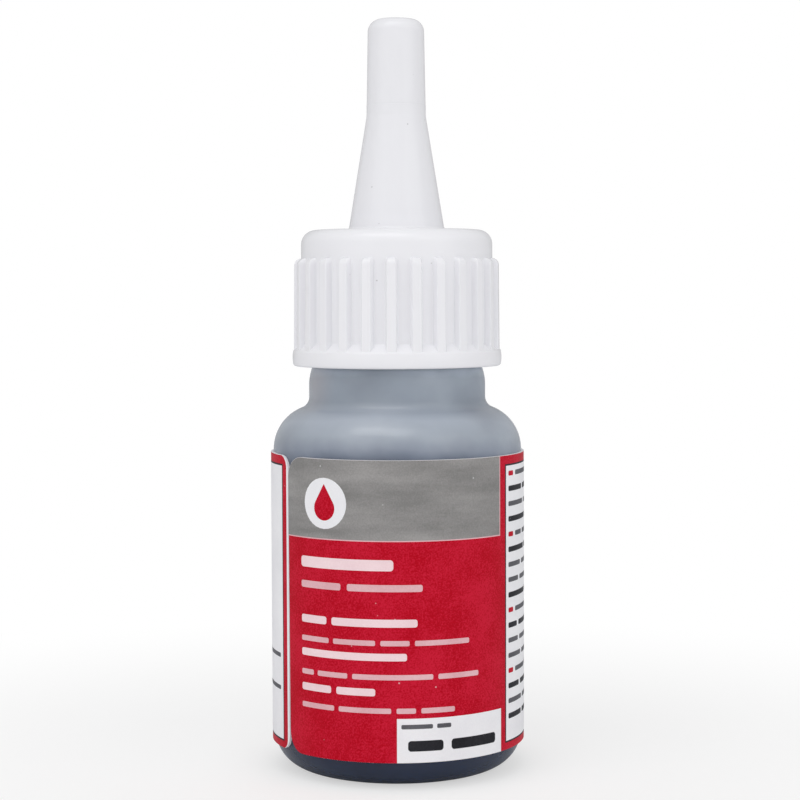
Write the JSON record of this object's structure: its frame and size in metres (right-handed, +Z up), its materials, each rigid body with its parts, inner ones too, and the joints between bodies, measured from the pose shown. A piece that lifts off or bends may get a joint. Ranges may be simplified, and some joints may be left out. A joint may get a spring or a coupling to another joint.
{
  "type": "super glue bottle",
  "caption": "Small round squeeze bottle of instant glue with a wrap-around label, a ribbed screw-on closure with a tapered spout, and a slim push-on tip cap.",
  "frame": {"origin": "centre of the standing ring, on the plane that the bottle stands on", "axes": "+Z up along the bottle's axis, -Y towards the front of the label, +X to the right seen from the front"},
  "size_m": [0.03, 0.03, 0.0881],
  "materials": {
    "bottle_plastic": "satin",
    "adhesive": "gloss",
    "label_paper": "satin",
    "seal_foam": "matte",
    "closure_plastic": "satin",
    "tip_cap_plastic": "satin"
  },
  "bodies": {
    "bottle": {"bottle": "bottle_plastic", "adhesive": "adhesive", "label": "label_paper"},
    "seal": {"seal_ring": "seal_foam"},
    "closure": {"spout_closure": "closure_plastic"},
    "tip_cap": {"tip_cap": "tip_cap_plastic"}
  },
  "joints": [
    {"name": "closure_rise", "type": "slide", "parent": "bottle", "child": "seal", "axis": [0, 0, 1], "range_m": [0, 0.0048]},
    {"name": "closure_unscrew", "type": "hinge", "parent": "seal", "child": "closure", "pos_m": [0, 0, 0.055], "axis": [0, 0, 1], "range_deg": [0, 540]},
    {"name": "tip_cap_pull", "type": "slide", "parent": "closure", "child": "tip_cap", "axis": [0, 0, 1], "range_m": [0, 0.014]}
  ],
  "couplings": [
    {"joint": "closure_rise", "follows": "closure_unscrew", "m_per_rad": 0.00050532}
  ]
}
